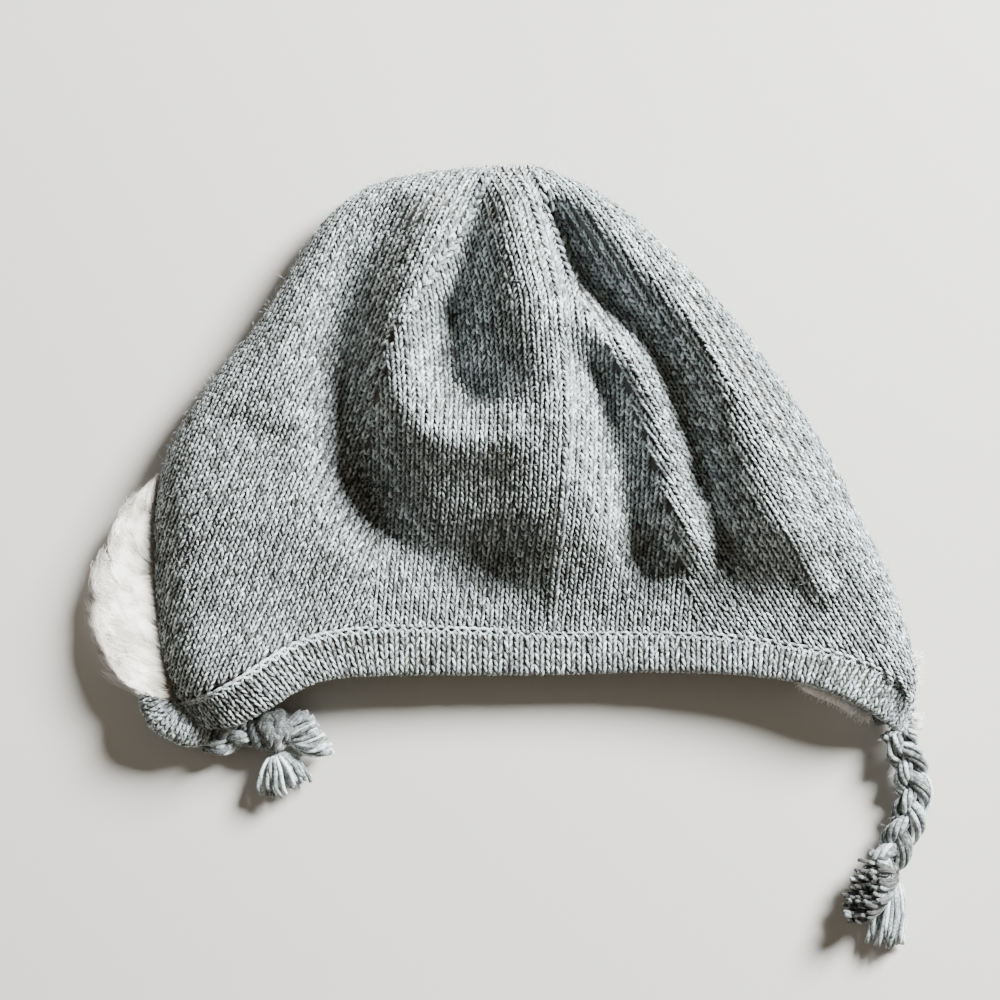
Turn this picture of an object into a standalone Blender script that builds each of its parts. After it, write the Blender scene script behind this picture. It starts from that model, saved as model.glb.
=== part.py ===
"""A baby's knitted hat with ear flaps, lying flat on its front with its back up.

The knit shell is one hollow wall with the folds that the hat lies in, the plush lining follows it inside,
a folded edge band goes round the hem, and a plaited tie with a tassel hangs from each flap tip. The left
flap is turned out, so a crescent of plush shows beside it. Metres, +Z up, +Y towards the crown. The origin
is on the flat underside, below the foot of the back seam's straight part.
"""

import bpy
import bmesh
import numpy as np
from mathutils import Vector

# Driving sizes, in metres
hat_width = 0.209        # flat width between the ear flap tips
hat_height = 0.159       # crown top to left flap tip
knit_wall = 0.0025       # double-face jersey wall
plush_wall = 0.0050      # plush lining with its pile
cloth_gap = 0.0003       # between pieces that touch
seam_gap = 0.0009        # between the shell's edge and the band's rounded fold
edge_roll = 0.0100       # radius of the rolled sides, in plan
side_height = 0.0090     # height of the outline above the table
side_rise = 0.0095       # from the outline up to the shoulder
flap_lift = 0.0020       # how much higher the left flap's outline lies, over the turned-out plush
crown_rise = 0.0100      # from the shoulder up to the middle of the crown
fold_height = 0.0075     # height of the tallest fold
fold_width = 0.0085      # half width of that fold
hem_drop = 0.0060        # how far the back hem sinks between the flaps
band_thickness = 0.0048
crescent_width = 0.0175  # plush that shows beside the left flap
crescent_height = 0.0150
lock_depth = 0.0018      # how far the plush locks stand out
lock_pitch = 0.0048
plait_diameter = 0.0118
plait_pitch = 0.0120     # one full turn of the three strands
right_plait_length = 0.0375
left_plait_length = 0.0125
knot_diameter = 0.0128
right_tassel_length = 0.0235
right_tassel_width = 0.0195
left_tassel_length = 0.0120
left_tassel_width = 0.0200
tassel_locks = 9

flap_columns, back_columns, front_columns, turned_columns, rows = 8, 30, 21, 12, 20

# Outline of the hat as it lies: x as a share of hat_width, y as a share of hat_height
right_side = [(.492, -.458), (.490, -.406), (.476, -.335), (.458, -.265), (.433, -.194), (.406, -.123),
              (.379, -.053), (.347, .018), (.311, .088), (.272, .159), (.226, .229), (.176, .300),
              (.119, .370), (.074, .413), (.029, .444), (-.005, .462), (-.043, .468)]
left_side = [(-.522, -.079), (-.505, -.018), (-.473, .053), (-.433, .123), (-.390, .194), (-.355, .265),
             (-.322, .335), (-.297, .378), (-.263, .416), (-.220, .442), (-.158, .457), (-.096, .465),
             (-.043, .468)]
left_flap_side = [(-.522, -.079), (-.530, -.139), (-.533, -.202), (-.531, -.296), (-.524, -.378),
                  (-.512, -.441), (-.498, -.482)]
left_tip, right_tip = (-.481, -.521), (.462, -.520)

# Edge band: seam line x and y, free edge x and y, and layer (1 on the upper layer, 0 on the table)
back_band = [(-.498, -.482, -.481, -.521, .50), (-.455, -.459, -.420, -.514, .90),
             (-.415, -.432, -.375, -.485, 1), (-.373, -.397, -.340, -.456, 1),
             (-.335, -.370, -.306, -.438, 1), (-.281, -.352, -.263, -.430, 1),
             (-.201, -.344, -.201, -.427, 1), (-.096, -.350, -.096, -.427, 1), (0, -.356, 0, -.427, 1),
             (.134, -.356, .134, -.422, 1), (.239, -.361, .239, -.425, 1), (.335, -.379, .325, -.438, 1),
             (.402, -.400, .378, -.460, 1), (.450, -.430, .421, -.488, .90)]
front_band = [(.486, -.482, .462, -.524, .50), (.455, -.404, .419, -.446, .10), (.430, -.327, .376, -.354, 0),
              (.397, -.233, .342, -.258, 0), (.357, -.138, .306, -.178, 0), (.287, -.069, .254, -.135, 0),
              (.167, -.050, .158, -.126, 0), (0, -.050, 0, -.126, 0), (-.191, -.050, -.191, -.126, 0),
              (-.359, -.057, -.359, -.132, 0), (-.455, -.072, -.438, -.142, .06)]
turned_band = [(-.506, -.170, -.462, -.186, .38), (-.512, -.260, -.466, -.262, .43),
               (-.510, -.350, -.464, -.352, .43), (-.502, -.412, -.458, -.400, .40),
               (-.528, -.470, -.476, -.448, .27), (-.524, -.502, -.478, -.484, .34)]

# Folds: height share, width share, and the path as shares of hat_width and hat_height
folds = {
    "left_valley": (-.95, 1.0, [(-.268, .317), (-.279, .176), (-.275, .053), (-.248, -.070), (-.188, -.176)]),
    "mound": (.85, 1.3, [(-.147, .352), (-.181, .229), (-.201, .106), (-.168, -.009), (-.067, -.044),
                         (-.007, -.018)]),
    "hollow": (-.80, 1.1, [(-.080, .176), (-.087, .070), (-.067, .035)]),
    "crown_groove": (-.45, .60, [(-.078, .396), (-.094, .282), (-.105, .176)]),
    "seam_ridge": (.80, 1.05, [(-.027, .405), (.013, .229), (.029, .053), (.024, -.123), (.013, -.264)]),
    "right_hollow": (-.60, .85, [(.074, .176), (.087, .018), (.107, -.158)]),
    "right_crest": (1.0, .95, [(.038, .246), (.114, .167), (.158, .053), (.188, -.088), (.201, -.202)]),
    "right_valley": (-.90, .95, [(.054, .296), (.147, .194), (.204, .053), (.248, -.088), (.275, -.194)]),
    "small_crease": (.35, .60, [(.188, .246), (.221, .070)]),
}

# Plush crescent: y share of hat_height, width share of crescent_width, height share of crescent_height
crescent = [(-.094, .10, .45), (-.123, .46, .75), (-.158, .57, .90), (-.194, .64, .96), (-.229, .80, 1),
            (-.264, .91, 1), (-.300, .94, 1), (-.335, 1, 1), (-.370, .93, .97), (-.402, .78, .85),
            (-.420, .60, .62), (-.434, .40, .42)]


def place(shares):
    """Shares of the hat's width and height as metres."""
    return np.array(shares, float) * (hat_width, hat_height)


def smooth_line(points, count, axes=2):
    """A Catmull-Rom curve through the points, read at even steps of its length or at given shares of it.

    The length is measured over the first axes, so what a table has beside its line comes along."""
    p = np.asarray(points, float)
    p = np.vstack([2 * p[0] - p[1], p, 2 * p[-1] - p[-2]])
    t = np.linspace(0, 1, 12, endpoint=False)[:, None]
    spans = []
    for a, b, c, d in zip(p, p[1:], p[2:], p[3:]):
        spans.append(.5 * (2 * b + (c - a) * t + (2 * a - 5 * b + 4 * c - d) * t ** 2
                           + (3 * b - a - 3 * c + d) * t ** 3))
    line = np.vstack(spans + [p[-2:-1]])
    along = np.append(0, np.cumsum(np.linalg.norm(np.diff(line[:, :axes], axis=0), axis=1)))
    at = along[-1] * (np.linspace(0, 1, count) if isinstance(count, int) else np.asarray(count))
    return np.stack([np.interp(at, along, line[:, k]) for k in range(line.shape[1])], axis=1)


def step(t):
    t = np.clip(t, 0, 1)
    return t * t * (3 - 2 * t)


outline = smooth_line(place([right_tip, (.486, -.497)] + right_side + left_side[-2::-1]
                            + left_flap_side[1:] + [left_tip]), 260)


def from_path(points, path):
    """Distance of each point from a path, and the left-hand normal of the path where it is nearest."""
    a, b = path[:-1], path[1:]
    run = b - a
    t = ((points[:, None] - a) * run).sum(2) / (run ** 2).sum(1)
    foot = a + run * np.clip(t, 0, 1)[..., None]
    gap = np.linalg.norm(points[:, None] - foot, axis=2)
    best = gap.argmin(1)
    left = np.stack([-run[:, 1], run[:, 0]], 1) / np.linalg.norm(run, axis=1)[:, None]
    return gap[np.arange(len(points)), best], left[best]


fold_paths = {name: smooth_line(place(path), 16) for name, (_, _, path) in folds.items()}
seam_height = -.356 * hat_height


def relief(points, inside):
    """Height of the upper layer above its shoulder: a low dome, less at the hem, and the folds."""
    x, y = points.T
    up_from_hem = step((y - seam_height) / (.28 * hat_height))
    dome = 1 - (1 - np.clip(inside / (.13 * hat_width), 0, 1)) ** 2
    height = crown_rise * dome * (.35 + .65 * up_from_hem)
    height -= hem_drop * (1 - up_from_hem) * np.exp(-(x / (.29 * hat_width)) ** 2)
    for name, (tall, wide, _) in folds.items():
        off, _ = from_path(points, fold_paths[name])
        height += fold_height * tall * np.exp(-(off / (fold_width * wide)) ** 2) * step(inside / (.07 * hat_width))
    return height


def cloth(points, depth, upper):
    """The hat's surface over plan points, moved in by depth: the upper layer or the one on the table."""
    inside, inward = from_path(points, outline)
    share = np.minimum(inside / edge_roll, 1)
    moved = points + inward * (depth * (1 - share))[:, None]
    turn = np.sqrt(1 - (1 - share) ** 2)
    x, y = points.T
    lifted = step((-x / hat_width - .30) / .12) * step((-.05 - y / hat_height) / .10)
    middle = side_height + flap_lift * lifted * step((y / hat_height + .54) / .12)
    if not upper:
        return np.column_stack([moved, middle - (middle - depth) * turn])
    height = relief(points, inside)
    probe = .02 * edge_roll
    slope = np.hypot(*[(relief(points + s, inside) - height) / probe for s in ((probe, 0), (0, probe))])
    thicker = np.minimum(np.hypot(1, slope), 1.22) - 1
    return np.column_stack([moved, middle + (side_rise - depth) * turn + height - depth * thicker * share])


def length_shares(line):
    """How far along its own length each point of a line lies, from 0 to 1."""
    along = np.append(0, np.cumsum(np.linalg.norm(np.diff(line, axis=0), axis=1)))
    return along / along[-1]


def patch(hem, across, up, left, right):
    """Plan points between a hem line and the two sides, which meet at the crown: rows go up."""
    v, a = up[:, None, None], across[None, :, None]
    low = 1 - v
    return low * hem + (1 - a) * (left[:, None] - low * left[0]) + a * (right[:, None] - low * right[0])


def by_height(side, up):
    """A side of the outline, read at shares of its rise."""
    line = smooth_line(place(side), 200)
    y = line[0, 1] + (line[-1, 1] - line[0, 1]) * up
    return np.column_stack([np.interp(y, line[:, 1], line[:, 0]), y])


def band_stations(table, count):
    """Even stations along the band: seam line x and y, free edge x and y, and layer."""
    t = np.array(table)
    return smooth_line(np.hstack([place(t[:, :2]), place(t[:, 2:4]), t[:, 4:]]), count)


def above_seam(stations, clearance):
    """The cloth's edge along the band's seam line: a clearance away, more where the band turns over."""
    out = stations[:, :2] - stations[:, 2:4]
    turning = 4 * stations[:, 4] * (1 - stations[:, 4])
    apart = clearance * (1 + 1.2 * np.clip(turning, 0, 1))
    return stations[:, :2] + out * (apart / np.linalg.norm(out, axis=1))[:, None]


back_stations = band_stations(back_band + front_band[:1], back_columns)
front_stations = band_stations(front_band, front_columns)


def wall(name, near, deep, hem_row, material):
    """A closed hollow wall between two depths of the hat's surface, open at the hem, from one of its rows."""
    up = 1 - (1 - np.linspace(0, 1, rows) ** 1.5) ** 1.6
    left, right = by_height(left_side, up), by_height(right_side, up)
    back = np.vstack([smooth_line(place(left_flap_side), flap_columns)[:-1],
                      above_seam(back_stations, seam_gap)[:-1], right[:1]])
    front = np.vstack([right[:1], above_seam(front_stations, seam_gap)[1:-1], left[:1]])
    upper = patch(back, length_shares(back), up, left, right)
    lower = patch(front, 1 - length_shares(front), up, left, right)[:, 1:-1]
    verts, faces = [], []
    for depth in (near, deep):
        rings = np.concatenate([
            cloth(upper.reshape(-1, 2), depth, True).reshape(rows, -1, 3),
            cloth(lower.reshape(-1, 2), depth, False).reshape(rows, -1, 3)], axis=1)
        verts.append(rings[hem_row:])
    many, ring = verts[0].shape[:2]
    layer = (many - 1) * ring + 1
    bare = np.concatenate([cloth(upper.reshape(-1, 2), 0, True).reshape(rows, -1, 3),
                           cloth(lower.reshape(-1, 2), 0, False).reshape(rows, -1, 3)], axis=1)[hem_row:]
    turned = np.roll(bare, -1, 1)
    rising = np.linalg.norm(turned[1:] - bare[:-1], axis=2) < np.linalg.norm(bare[1:] - turned[:-1], axis=2)
    for s, rings in enumerate(verts):
        first = s * layer
        top = first + layer - 1
        for j in range(many - 1):
            for i in range(ring):
                k = (i + 1) % ring
                a, b = first + j * ring + i, first + j * ring + k
                if j == many - 2:
                    faces.append((a, b, top))
                elif rising[j, i]:
                    faces += [(a, b, b + ring), (a, b + ring, a + ring)]
                else:
                    faces += [(a, b, a + ring), (b, b + ring, a + ring)]
    for i in range(ring):
        k = (i + 1) % ring
        faces += [(i, layer + i, layer + k), (i, layer + k, k)]
    points = [np.vstack([r[:-1].reshape(-1, 3), r[-1, :1]]) for r in verts]
    return solid(name, np.vstack(points), faces, material)


def loft(sections, closed=False, fan_corner=None):
    """Triangles of a tube through equal sections, with fan caps unless it closes on itself.

    A cap fans out from the section's middle, or from the inner corner of a section that has one."""
    sections = np.asarray(sections)
    many, ring, _ = sections.shape
    verts = sections.reshape(-1, 3)
    faces = []
    for j in range(many if closed else many - 1):
        n = (j + 1) % many
        for i in range(ring):
            k = (i + 1) % ring
            a, b, c, d = j * ring + i, j * ring + k, n * ring + k, n * ring + i
            faces += [(a, b, c), (a, c, d)]
    if fan_corner is not None:
        last = (many - 1) * ring
        for i in range(1, ring - 1):
            a, b = (fan_corner + i) % ring, (fan_corner + i + 1) % ring
            faces += [(fan_corner, b, a), (last + fan_corner, last + a, last + b)]
    elif not closed:
        verts = np.vstack([verts, sections[0].mean(0), sections[-1].mean(0)])
        for i in range(ring):
            k = (i + 1) % ring
            faces.append((len(verts) - 2, k, i))
            faces.append((len(verts) - 1, (many - 1) * ring + i, (many - 1) * ring + k))
    return verts, faces


def solid(name, verts, faces, material):
    mesh = bpy.data.meshes.new(name)
    mesh.from_pydata([tuple(v) for v in verts], [], faces)
    bm = bmesh.new()
    bm.from_mesh(mesh)
    bmesh.ops.recalc_face_normals(bm, faces=bm.faces)
    bm.to_mesh(mesh)
    bm.free()
    mesh.shade_smooth()
    mesh.materials.append(material)
    piece = bpy.data.objects.new(name, mesh)
    bpy.context.scene.collection.objects.link(piece)
    piece.parent = hat
    return piece


def cloth_material(name, colour, roughness):
    material = bpy.data.materials.new(name)
    material.use_nodes = True
    shader = material.node_tree.nodes["Principled BSDF"]
    shader.inputs["Base Color"].default_value = (*colour, 1)
    shader.inputs["Roughness"].default_value = roughness
    shader.inputs["Metallic"].default_value = 0
    return material


def edge_band():
    """The folded band: one closed strip from its seam line to its free edge, all round the hem."""
    turned = band_stations(front_band[-1:] + turned_band + back_band[:1], turned_columns)
    stations = np.vstack([back_stations[:-1], front_stations[:-1], turned[:-1]])
    seam, edge, layer = stations[:, :2], stations[:, 2:4], stations[:, 4]
    half = band_thickness / 2
    ends = []
    for line in (seam, edge):
        top = cloth(line, 0, True)[:, 2]
        top = 2 * side_height + (top - 2 * side_height) * step((layer - .4) / .5)
        ends.append(np.column_stack([line, half + layer * (top - 1.25 * band_thickness)]))
    seam, edge = ends
    run = np.roll(seam + edge, -1, 0) - np.roll(seam + edge, 1, 0)
    across = edge - seam
    out = np.cross(across, run)
    out /= np.linalg.norm(out, axis=1)[:, None]
    profile = [(0, .10), (.06, .36), (.20, .5), (.84, .5), (.985, .22)]
    profile += [(a, -n) for a, n in profile[::-1]]
    sections = np.stack([seam + across * a + out * (n * band_thickness) for a, n in profile], 1)
    sections[..., 2] = np.maximum(sections[..., 2], 0)
    verts, faces = loft(sections, closed=True)
    return solid("edge_band", verts, faces, grey_rib)


def crescent_rows():
    """Rows down the plush crescent, with the outline's x at each: a lock stands out at every second row."""
    table = np.array(crescent)
    count = 2 * round((table[0, 0] - table[-1, 0]) * hat_height / lock_pitch) + 1
    table = smooth_line(table, count, axes=1)
    flap = smooth_line(place(left_flap_side), 60)[::-1]
    return table, np.interp(table[:, 0] * hat_height, flap[:, 1], flap[:, 0])


def plush_crescent():
    """The turned-out plush beside the flap: it swells from the outline and thins to a ragged rim."""
    sections = []
    table, side = crescent_rows()
    for n, (y, wide, tall) in enumerate(table):
        in_lock = n % 2
        width = max(wide * crescent_width + (in_lock - .5) * lock_depth, .10 * crescent_width)
        height = tall * crescent_height - (.25 * lock_depth if not in_lock else 0)
        foot = .07 * width + .0004
        across = [(.0004, .12 * height), (.0004, .52 * height), (foot, .84 * height), (.30 * width + foot, height),
                  (.68 * width, .88 * height), (.90 * width, .60 * height), (width, .26 * height),
                  (.93 * width, 0), (foot, 0)]
        lean = .6 * lock_depth * np.sin(2.1 * n)
        sections.append([(side[n] - q, y * hat_height + lean * q / crescent_width, z) for q, z in across])
    return loft(sections)


def plush_tuck():
    """The plush that joins the lining to the crescent: down behind the band's free edge, then out under it."""
    sections = []
    table, side = crescent_rows()
    clear = .5 * (band_thickness + seam_gap) + .0145
    under_band = .36 * (side_height + flap_lift)
    for (y, wide, tall), x in list(zip(table, side))[len(table) // 3:-len(table) // 4]:
        inner = np.array([[x + clear + plush_wall, y * hat_height]])
        roof = cloth(inner, knit_wall + .5 * plush_wall, True)[0, 2]
        across = [(-clear - plush_wall, roof), (-clear, roof), (-clear, under_band),
                  (.25 * wide * crescent_width, under_band), (.25 * wide * crescent_width, .2 * under_band),
                  (-clear - plush_wall, .2 * under_band)]
        sections.append([(x - q, y * hat_height, z) for q, z in across])
    return loft(sections, fan_corner=2)


def plait(name, route, length, material):
    """Three strands plaited: the round section swells to each side in turn as it goes along."""
    count = max(9, round(length / plait_pitch * 8))
    line = smooth_line(route, count, axes=3)
    run = np.gradient(line, axis=0)
    run /= np.linalg.norm(run, axis=1)[:, None]
    side = np.cross(run, (0, 0, 1))
    side /= np.linalg.norm(side, axis=1)[:, None]
    up = np.cross(side, run)
    along = np.linspace(0, length, count)
    turn = np.linspace(0, 2 * np.pi, 12, endpoint=False)
    radius = plait_diameter / 2
    sections = []
    for p, s, u, a in zip(line, side, up, along):
        phase = 2 * np.pi * a / plait_pitch
        swell = .84 + .16 * np.cos(turn - np.pi / 2 + np.pi / 2 * np.cos(phase)) * np.cos(phase)
        ends = np.clip(min(a, length - a) / (.35 * radius) + .55, 0, 1)
        r = radius * swell * ends
        sections.append(p + np.outer(np.cos(turn) * r, s) + np.outer(np.sin(turn) * r * .92, u))
    sections = np.array(sections)
    sections[..., 2] = np.maximum(sections[..., 2], 0)
    verts, faces = loft(sections)
    return solid(name, verts, faces, material)


def tassel(name, start, end, width, flat, material):
    """Yarn ends spreading from a bound neck: a fluted bundle, its locks cut at uneven lengths."""
    start, end = np.array(start), np.array(end)
    run = end - start
    length = np.linalg.norm(run)
    run /= length
    side = np.cross(run, (0, 0, 1))
    side /= np.linalg.norm(side)
    up = np.cross(side, run)
    per_lock = 3
    turn = np.linspace(0, 2 * np.pi, per_lock * tassel_locks, endpoint=False)
    lock = np.cos(tassel_locks * turn)
    uneven = 1 + .08 * np.sin(3 * turn + 1) + .05 * np.sin(5 * turn)
    profile = [(0, .42), (.10, .62), (.28, .80), (.52, .92), (.78, 1.0), (.93, .98)]
    sections = []
    for at, r in profile:
        groove = 1 + .07 * min(1, at * 4) * lock
        reach = at * length * (uneven if at > .5 else 1)
        radius = .5 * width * r * groove
        sections.append(start + np.outer(reach * np.ones(len(turn)), run) + np.outer(np.cos(turn) * radius, side)
                        + np.outer(np.sin(turn) * radius * flat, up))
    sections.append(sections[-1] * .35 + (start + run * length * 1.0) * .65)
    sections = np.array(sections)
    sections[..., 2] = np.maximum(sections[..., 2], 0)
    verts, faces = loft(sections)
    return solid(name, verts, faces, material)


def knot(name, centre, material):
    """The overhand knot above the left tassel: a ball with a slanted groove."""
    around = np.linspace(0, 2 * np.pi, 14, endpoint=False)
    sections = []
    for a in np.linspace(.14, np.pi - .14, 9):
        groove = 1 - .12 * np.exp(-(np.sin(around - 1.6 * a) / .35) ** 2)
        r = .5 * knot_diameter * np.sin(a) * groove
        sections.append(np.column_stack([centre[0] - .5 * knot_diameter * np.cos(a) + 0 * around,
                                         centre[1] + r * np.cos(around), centre[2] + r * np.sin(around) * .95]))
    sections = np.array(sections)
    sections[..., 2] = np.maximum(sections[..., 2], 0)
    verts, faces = loft(sections)
    return solid(name, verts, faces, material)


for old in list(bpy.data.objects):
    bpy.data.objects.remove(old)

hat = bpy.data.objects.new("hat", None)
bpy.context.scene.collection.objects.link(hat)
grey_knit = cloth_material("grey marled knit", (.30, .31, .31), .95)
grey_rib = cloth_material("grey folded rib", (.34, .35, .35), .95)
white_plush = cloth_material("white plush", (.86, .85, .82), 1.0)
grey_yarn = cloth_material("grey yarn", (.33, .34, .34), .95)

wall("knit_shell", 0, knit_wall, 0, grey_knit)
lining_out = knit_wall + cloth_gap
lining = wall("plush_lining", lining_out, lining_out + plush_wall, 1, white_plush)
for name, shape in (("tuck", plush_tuck()), ("crescent", plush_crescent())):
    pad = solid(name, *shape, white_plush)
    pad.hide_render = True
    pad.display_type = "WIRE"
    join = lining.modifiers.new(name, "BOOLEAN")
    join.operation = "UNION"
    join.solver = "EXACT"
    join.object = pad
edge_band()

plait_radius = plait_diameter / 2
tip = np.append(place(right_tip), 0)
root = tip + (.0005, -.0018, side_height)
down = np.array([(0, 0), (.09, -.22), (.13, -.52), (.04, -.80), (-.09, -1.0)]) * right_plait_length
sink = np.interp(-down[:, 1] / right_plait_length, (0, .35, 1), (root[2], plait_radius, plait_radius))
route = np.column_stack([root[:2] + down, sink])
plait("right_tie_plait", route, right_plait_length, grey_yarn)
neck = route[-1] + (-.0012, -2 * cloth_gap, 0)
fall = np.array((-.34, -.94, 0))
tassel("right_tassel", neck, neck + fall * right_tassel_length, right_tassel_width, .62, grey_yarn)

tip = np.append(place(left_tip), 0)
root = tip + (.0030, -.0035, 0)
over = np.array([(0, 0), (.35, .02), (.70, .10), (1, .20)]) * left_plait_length
route = np.column_stack([root[:2] + over, np.full(4, plait_radius)])
plait("left_tie_plait", route, left_plait_length, grey_yarn)
ball = route[-1] + (.5 * knot_diameter + cloth_gap, 0, .5 * knot_diameter - plait_radius)
knot("left_tie_knot", ball, grey_yarn)
fall = np.array((.80, -.60, 0))
neck = ball + fall * (.5 * knot_diameter + cloth_gap)
tassel("left_tassel", neck, neck + fall * left_tassel_length, left_tassel_width, .60, grey_yarn)
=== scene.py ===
import bpy
import numpy as np
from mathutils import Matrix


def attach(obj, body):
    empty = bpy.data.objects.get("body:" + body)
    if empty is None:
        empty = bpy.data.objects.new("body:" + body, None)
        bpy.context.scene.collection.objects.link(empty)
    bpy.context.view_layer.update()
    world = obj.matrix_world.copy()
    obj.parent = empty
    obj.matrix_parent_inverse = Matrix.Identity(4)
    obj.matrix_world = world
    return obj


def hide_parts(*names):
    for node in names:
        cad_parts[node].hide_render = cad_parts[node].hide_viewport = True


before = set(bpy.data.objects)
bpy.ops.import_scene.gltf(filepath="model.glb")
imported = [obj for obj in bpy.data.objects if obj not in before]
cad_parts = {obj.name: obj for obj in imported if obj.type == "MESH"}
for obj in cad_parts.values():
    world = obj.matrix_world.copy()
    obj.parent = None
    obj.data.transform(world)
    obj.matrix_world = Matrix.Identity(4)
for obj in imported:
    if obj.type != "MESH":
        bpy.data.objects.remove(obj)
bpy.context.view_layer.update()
print("frame loaded")

# sizes that every piece follows, in metres; the crown and its folds stand taller than in the CAD
hat = {"width": .209, "height": .159, "knitWall": .0025, "plushWall": .0050, "edgeRoll": .0100,
       "sideHeight": .0090, "sideRise": .0095, "flapLift": .0020, "crownRise": .0112, "foldHeight": .0122,
       "foldWidth": .0085, "hemDrop": .0060, "bandThickness": .0048}
# the outline and the bands: shares of the hat's width and height from its middle; a band row is the place
# of the seam, the place of the edge and how far it belongs to the upper layer
rightSide = [(.492, -.458), (.490, -.406), (.476, -.335), (.458, -.265), (.433, -.194), (.406, -.123),
             (.379, -.053), (.347, .018), (.311, .088), (.272, .159), (.226, .229), (.176, .300),
             (.119, .370), (.074, .413), (.029, .444), (-.005, .462), (-.043, .468)]
leftSide = [(-.522, -.079), (-.505, -.018), (-.473, .053), (-.433, .123), (-.390, .194), (-.355, .265),
            (-.322, .335), (-.297, .378), (-.263, .416), (-.220, .442), (-.158, .457), (-.096, .465),
            (-.043, .468)]
leftFlapSide = [(-.522, -.079), (-.530, -.139), (-.533, -.202), (-.531, -.296), (-.524, -.378),
                (-.512, -.441), (-.498, -.482)]
leftTip, rightTip = (-.481, -.521), (.462, -.520)
backBand = [(-.498, -.482, -.481, -.521, .50), (-.455, -.459, -.420, -.514, .90),
            (-.415, -.432, -.375, -.485, 1), (-.373, -.397, -.340, -.456, 1), (-.335, -.370, -.306, -.438, 1),
            (-.281, -.352, -.263, -.430, 1), (-.201, -.344, -.201, -.427, 1), (-.096, -.350, -.096, -.427, 1),
            (0, -.356, 0, -.427, 1), (.134, -.356, .134, -.422, 1), (.239, -.361, .239, -.425, 1),
            (.335, -.379, .325, -.438, 1), (.402, -.400, .378, -.460, 1), (.450, -.430, .421, -.488, .90)]
frontBand = [(.486, -.482, .462, -.524, .50), (.455, -.404, .419, -.446, .10), (.430, -.327, .376, -.354, 0),
             (.397, -.233, .342, -.258, 0), (.357, -.138, .306, -.178, 0), (.287, -.069, .254, -.135, 0),
             (.167, -.050, .158, -.126, 0), (0, -.050, 0, -.126, 0), (-.191, -.050, -.191, -.126, 0),
             (-.359, -.057, -.359, -.132, 0), (-.455, -.072, -.438, -.142, .06)]
turnedBand = [(-.506, -.170, -.462, -.186, .38), (-.512, -.260, -.466, -.262, .43),
              (-.510, -.350, -.464, -.352, .43), (-.502, -.412, -.458, -.400, .40),
              (-.528, -.470, -.476, -.448, .27), (-.524, -.502, -.478, -.484, .34)]
# folds: share of foldHeight, share of foldWidth, and the path in shares of the hat's width and height
folds = {
    "leftValley": (-1.05, 1.15, [(-.215, .400), (-.262, .300), (-.280, .176), (-.276, .053), (-.260, -.055),
                                 (-.230, -.130)]),
    "mound": (1.0, 1.1, [(-.150, .352), (-.180, .229), (-.200, .106), (-.176, .018), (-.120, -.010),
                         (-.060, -.004)]),
    "lowerValley": (-.78, 1.15, [(-.244, -.105), (-.224, -.160), (-.178, -.208), (-.105, -.232),
                                 (-.060, -.228)]),
    "leftRim": (.24, 1.7, [(-.300, .330), (-.322, .176), (-.322, .035)]),
    "flapRise": (.30, 2.6, [(-.500, -.150), (-.500, -.330), (-.470, -.420)]),
    "hollow": (-.90, 1.0, [(-.134, .170), (-.132, .100), (-.104, .060)]),
    "crownGroove": (-.80, .75, [(-.096, .420), (-.116, .300), (-.130, .215)]),
    "seamRidge": (1.0, 1.15, [(-.048, .405), (-.028, .229), (.008, .053)]),
    "seamRidgeEnd": (.62, 1.3, [(.022, -.035), (.034, -.090), (.046, -.160)]),
    "lowSeam": (.40, 1.25, [(-.034, -.070), (-.030, -.140), (-.012, -.225)]),
    "rightHollow": (-.85, .90, [(.062, .100), (.074, .050), (.084, -.018), (.104, -.141), (.124, -.205)]),
    "rightCrest": (.98, .76, [(.048, .186), (.076, .158), (.116, .106), (.146, .044), (.161, -.026),
                              (.177, -.114), (.190, -.190)]),
    "rightValley": (-1.30, .88, [(.008, .379), (.038, .291), (.080, .220), (.124, .158), (.155, .088),
                                 (.172, .009), (.189, -.070)]),
    "rightValleyTop": (-.42, .90, [(.014, .360), (.045, .285), (.082, .222)]),
    "rightValleyEnd": (-.75, .80, [(.201, -.125), (.216, -.175), (.236, -.208)]),
    "outerRidge": (.95, 1.3, [(.100, .396), (.186, .247), (.248, .088), (.288, -.070), (.305, -.170)]),
    "smallCrease": (.30, .50, [(.190, .190), (.221, .080)]),
    "lowCrease": (.25, .45, [(.312, -.176), (.361, -.282)]),
    "leftCrease": (-.15, .50, [(-.455, .035), (-.362, -.018)]),
}
# how far in from the outline or up from the hem the dome and the folds grow to their height, in shares
crown = {"hemReach": .28, "domeReach": .13, "domeAtHem": .35, "sagReach": .29, "foldReach": .07}
dice = np.random.default_rng(11)


def place(shares):  # shares of the hat's width and height as metres
    return np.array(shares, float) * (hat["width"], hat["height"])


def ease(t):
    t = np.clip(t, 0, 1)
    return t * t * (3 - 2 * t)


# a Catmull-Rom curve through the points, read at even steps or given shares of its length
def smoothLine(points, count, axes=2):
    p = np.asarray(points, float)
    p = np.vstack([2 * p[0] - p[1], p, 2 * p[-1] - p[-2]])
    t = np.linspace(0, 1, 12, endpoint=False)[None, :, None]
    a, b, c, d = (p[k:len(p) - 3 + k, None] for k in range(4))
    line = .5 * (2 * b + (c - a) * t + (2 * a - 5 * b + 4 * c - d) * t ** 2 + (3 * b - a - 3 * c + d) * t ** 3)
    line = np.vstack([line.reshape(-1, p.shape[1]), p[-2:-1]])
    along = np.append(0, np.cumsum(np.linalg.norm(np.diff(line[:, :axes], axis=0), axis=1)))
    at = along[-1] * (np.linspace(0, 1, count) if isinstance(count, int) else np.asarray(count))
    return np.stack([np.interp(at, along, line[:, k]) for k in range(line.shape[1])], axis=1)


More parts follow.
